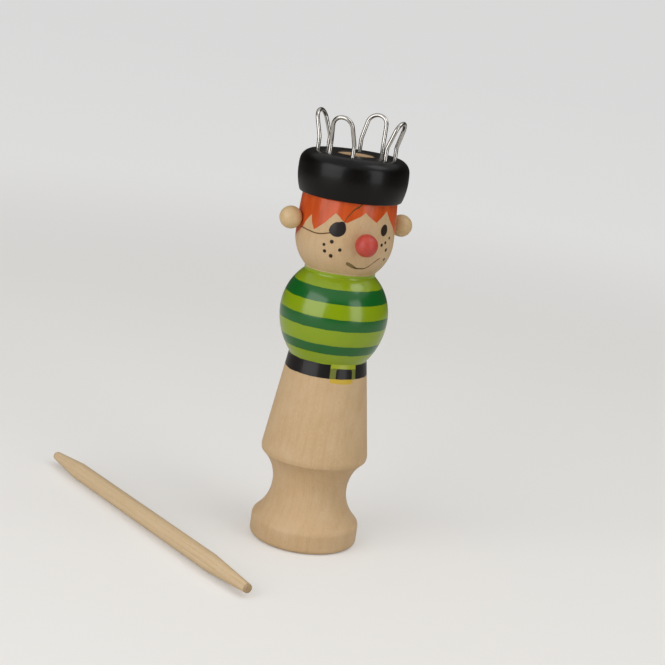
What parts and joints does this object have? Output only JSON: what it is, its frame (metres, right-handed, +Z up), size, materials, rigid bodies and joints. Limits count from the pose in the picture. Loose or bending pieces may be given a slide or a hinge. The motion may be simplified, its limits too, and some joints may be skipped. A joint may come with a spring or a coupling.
{
  "type": "knitting nancy",
  "caption": "Wooden spool-knitting doll with a through bore, wire loops on its hat, ball ears and nose, and a loose tapered needle.",
  "frame": {"origin": "on the bore axis, at the underside of the foot", "axes": "+Z up along the bore axis, -Y towards the face, +X towards the doll's left ear"},
  "size_m": [0.101, 0.1246, 0.1507],
  "materials": {
    "painted_wood": "turned pale hardwood, painted in zones and lacquered, bare below the belt",
    "bare_wood": "smooth lacquered pale wood",
    "red_lacquer": "satin red lacquer on wood",
    "peg_wood": "plain dowel",
    "needle_wood": "sanded pale dowel",
    "loop_wire": "bright drawn wire"
  },
  "bodies": {
    "doll": {"turned_body": "painted_wood", "right_ear": "bare_wood", "left_ear": "bare_wood", "nose": "red_lacquer", "right_ear_peg": "peg_wood", "left_ear_peg": "peg_wood", "nose_peg": "peg_wood", "front_left_loop": "loop_wire", "back_left_loop": "loop_wire", "back_right_loop": "loop_wire", "front_right_loop": "loop_wire"},
    "needle": {"knitting_needle": "needle_wood"}
  },
  "joints": [
    {"name": "needle_lift", "type": "slide", "parent": "doll", "child": "needle", "axis": [0, 0, 1], "range_m": [0, 0.12]}
  ]
}
